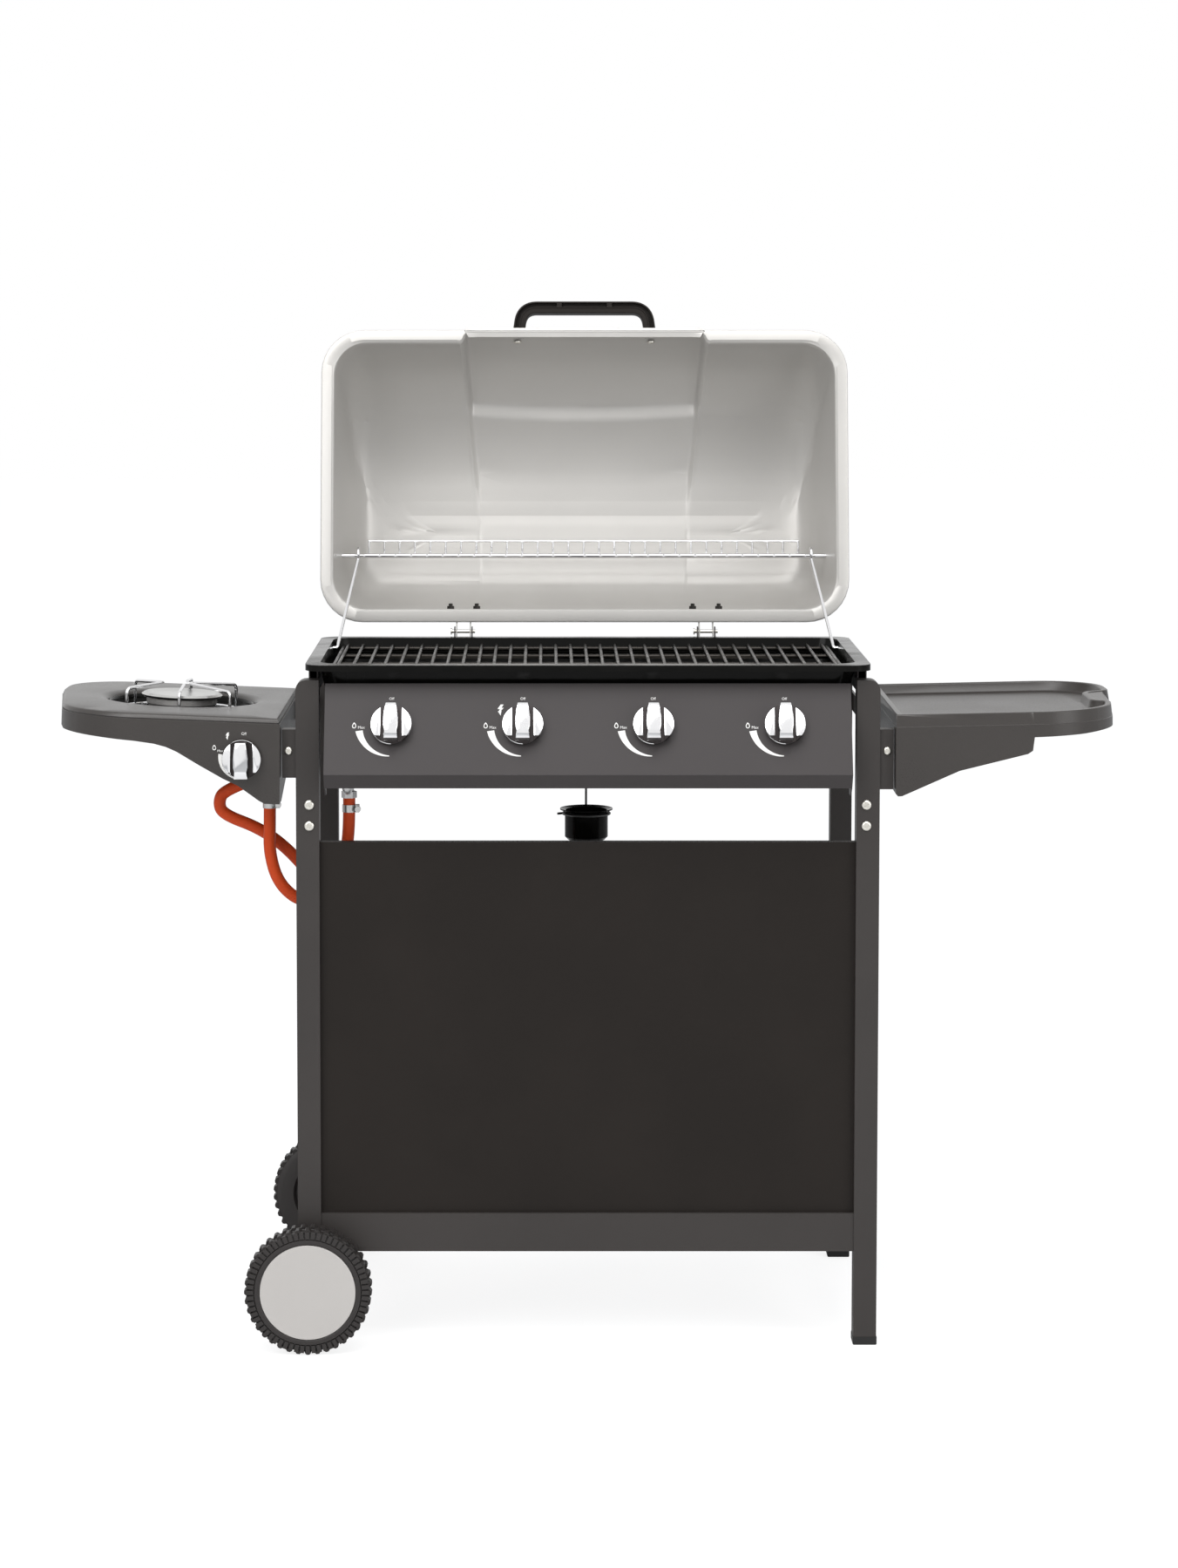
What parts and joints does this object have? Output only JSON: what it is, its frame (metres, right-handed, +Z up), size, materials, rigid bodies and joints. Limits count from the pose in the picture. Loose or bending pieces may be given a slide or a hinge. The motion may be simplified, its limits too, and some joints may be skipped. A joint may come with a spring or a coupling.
{
  "type": "gas barbecue grill",
  "caption": "Gas barbecue on a wheeled trolley with hinged lid, side burner shelf, tray shelf, warming rack, knobs and grease cup.",
  "frame": {"origin": "middle of the footprint on the floor", "axes": "+X to the right of a person facing the controls, +Y away from them, +Z up"},
  "size_m": [1.3274, 0.6438, 1.2704],
  "materials": {
    "frame_paint": "satin powder coat",
    "panel_sheet": "matt painted sheet",
    "control_paint": "satin powder coat",
    "enamel": "gloss enamel",
    "zinc": "zinc plated",
    "foot_plastic": "moulded",
    "wheel_plastic": "moulded",
    "hub_disc": "satin",
    "grate_steel": "enamelled wire",
    "burner_steel": "stainless",
    "brass_parts": "machined",
    "gas_pipe": "black painted",
    "chrome": "polished",
    "lid_paint": "silver hammered paint",
    "handle_plastic": "moulded",
    "shelf_plastic": "moulded",
    "burner_cast": "cast",
    "cap_steel": "brushed",
    "wire_black": "black wire",
    "hose_rubber": "smooth rubber",
    "clamp_steel": "stainless",
    "regulator_alloy": "cast"
  },
  "bodies": {
    "trolley": {"leg_front_left_lower": "frame_paint", "leg_front_left_upper": "frame_paint", "leg_front_right_lower": "frame_paint", "leg_front_right_upper": "frame_paint", "leg_rear_left_lower": "frame_paint", "leg_rear_left_upper": "frame_paint", "leg_rear_right_lower": "frame_paint", "leg_rear_right_upper": "frame_paint", "frame_screws": "zinc", "foot_caps": "foot_plastic", "rails_lower_long": "frame_paint", "rails_lower_side": "frame_paint", "firebox_bearers": "frame_paint", "panel_front": "panel_sheet", "axle": "zinc", "axle_clips": "zinc", "firebox": "enamel", "burner_tubes": "burner_steel", "heat_plates": "burner_steel", "control_panel": "control_paint", "valves_main": "brass_parts", "manifold": "gas_pipe", "hinge_bases": "frame_paint", "hinge_pins": "zinc", "shelf_left": "shelf_plastic", "shelf_right": "shelf_plastic", "shelf_brackets": "frame_paint", "side_burner_bowl": "burner_steel", "side_burner_head": "burner_cast", "side_valve": "brass_parts", "cup_hanger": "wire_black", "hose_side": "hose_rubber", "hose_supply": "hose_rubber", "hose_clamps": "clamp_steel", "regulator": "regulator_alloy"},
    "front_wheel": {"wheel_front": "wheel_plastic", "hub_disc_front": "hub_disc"},
    "rear_wheel": {"wheel_rear": "wheel_plastic", "hub_disc_rear": "hub_disc"},
    "lid": {"lid_shell": "lid_paint", "lid_handle": "handle_plastic", "lid_screws": "zinc", "hinge_arms": "lid_paint"},
    "rack": {"warming_rack": "chrome"},
    "left_rack_leg": {"rack_leg_left": "chrome"},
    "right_rack_leg": {"rack_leg_right": "chrome"},
    "grate": {"cooking_grate": "grate_steel"},
    "pan_grid": {"pan_support": "chrome"},
    "burner_cap": {"side_burner_cap": "cap_steel"},
    "cup": {"grease_cup": "enamel"},
    "stem_1": {"valve_stem_1": "brass_parts"},
    "knob_body_1": {"knob_1": "chrome"},
    "stem_2": {"valve_stem_2": "brass_parts"},
    "knob_body_2": {"knob_2": "chrome"},
    "stem_3": {"valve_stem_3": "brass_parts"},
    "knob_body_3": {"knob_3": "chrome"},
    "stem_4": {"valve_stem_4": "brass_parts"},
    "knob_body_4": {"knob_4": "chrome"},
    "stem_side": {"valve_stem_side": "brass_parts"},
    "knob_body_side": {"knob_side": "chrome"}
  },
  "joints": [
    {"name": "front_wheel_spin", "type": "hinge", "parent": "trolley", "child": "front_wheel", "pos_m": [-0.33883, -0.29388, 0.077], "axis": [0, 1, 0], "continuous": true},
    {"name": "rear_wheel_spin", "type": "hinge", "parent": "trolley", "child": "rear_wheel", "pos_m": [-0.33883, 0.21212, 0.077], "axis": [0, 1, 0], "continuous": true},
    {"name": "lid_hinge", "type": "hinge", "parent": "trolley", "child": "lid", "pos_m": [0.00017, 0.10612, 0.842], "axis": [1, 0, 0], "range_deg": [0, 100]},
    {"name": "rack_on_lid", "type": "hinge", "parent": "lid", "child": "rack", "pos_m": [0.00017, 0.21112, 0.933], "axis": [1, 0, 0], "range_deg": [-95.65, 0]},
    {"name": "left_rack_leg_swing", "type": "hinge", "parent": "trolley", "child": "left_rack_leg", "pos_m": [-0.32183, 0.01782, 0.829], "axis": [1, 0, 0], "range_deg": [0, 90.4]},
    {"name": "right_rack_leg_swing", "type": "hinge", "parent": "trolley", "child": "right_rack_leg", "pos_m": [0.32217, 0.01782, 0.829], "axis": [1, 0, 0], "range_deg": [0, 90.4]},
    {"name": "grate_lift", "type": "slide", "parent": "trolley", "child": "grate", "axis": [0, 0, 1], "range_m": [0, 0.01]},
    {"name": "pan_support_lift", "type": "slide", "parent": "trolley", "child": "pan_grid", "axis": [0, 0, 1], "range_m": [0, 0.03]},
    {"name": "burner_cap_lift", "type": "slide", "parent": "trolley", "child": "burner_cap", "axis": [0, 0, 1], "range_m": [0, 0.005]},
    {"name": "grease_cup_lift", "type": "slide", "parent": "trolley", "child": "cup", "axis": [0, 0, 1], "range_m": [0, 0.02]},
    {"name": "knob_1_press", "type": "slide", "parent": "trolley", "child": "stem_1", "axis": [0, 0.9127, -0.4086], "range_m": [0, 0.003], "stiffness_N_per_m": 400, "springref_m": -0.001},
    {"name": "knob_1_turn", "type": "hinge", "parent": "stem_1", "child": "knob_body_1", "pos_m": [-0.23633, -0.28744, 0.76371], "axis": [0, -0.9127, 0.4086], "range_deg": [0, 180]},
    {"name": "knob_2_press", "type": "slide", "parent": "trolley", "child": "stem_2", "axis": [0, 0.9127, -0.4086], "range_m": [0, 0.003], "stiffness_N_per_m": 400, "springref_m": -0.001},
    {"name": "knob_2_turn", "type": "hinge", "parent": "stem_2", "child": "knob_body_2", "pos_m": [-0.07833, -0.28744, 0.76371], "axis": [0, -0.9127, 0.4086], "range_deg": [0, 180]},
    {"name": "knob_3_press", "type": "slide", "parent": "trolley", "child": "stem_3", "axis": [0, 0.9127, -0.4086], "range_m": [0, 0.003], "stiffness_N_per_m": 400, "springref_m": -0.001},
    {"name": "knob_3_turn", "type": "hinge", "parent": "stem_3", "child": "knob_body_3", "pos_m": [0.07867, -0.28744, 0.76371], "axis": [0, -0.9127, 0.4086], "range_deg": [0, 180]},
    {"name": "knob_4_press", "type": "slide", "parent": "trolley", "child": "stem_4", "axis": [0, 0.9127, -0.4086], "range_m": [0, 0.003], "stiffness_N_per_m": 400, "springref_m": -0.001},
    {"name": "knob_4_turn", "type": "hinge", "parent": "stem_4", "child": "knob_body_4", "pos_m": [0.23667, -0.28744, 0.76371], "axis": [0, -0.9127, 0.4086], "range_deg": [0, 180]},
    {"name": "knob_side_press", "type": "slide", "parent": "trolley", "child": "stem_side", "axis": [0, 1, 0], "range_m": [0, 0.003], "stiffness_N_per_m": 400, "springref_m": -0.001},
    {"name": "knob_side_turn", "type": "hinge", "parent": "stem_side", "child": "knob_body_side", "pos_m": [-0.41683, -0.27588, 0.723], "axis": [0, -1, 0], "range_deg": [0, 180]}
  ],
  "couplings": [
    {"joint": "rack_on_lid", "follows": "lid_hinge", "ratio": -0.9565},
    {"joint": "left_rack_leg_swing", "follows": "lid_hinge", "ratio": 0.904},
    {"joint": "right_rack_leg_swing", "follows": "lid_hinge", "ratio": 0.904}
  ]
}
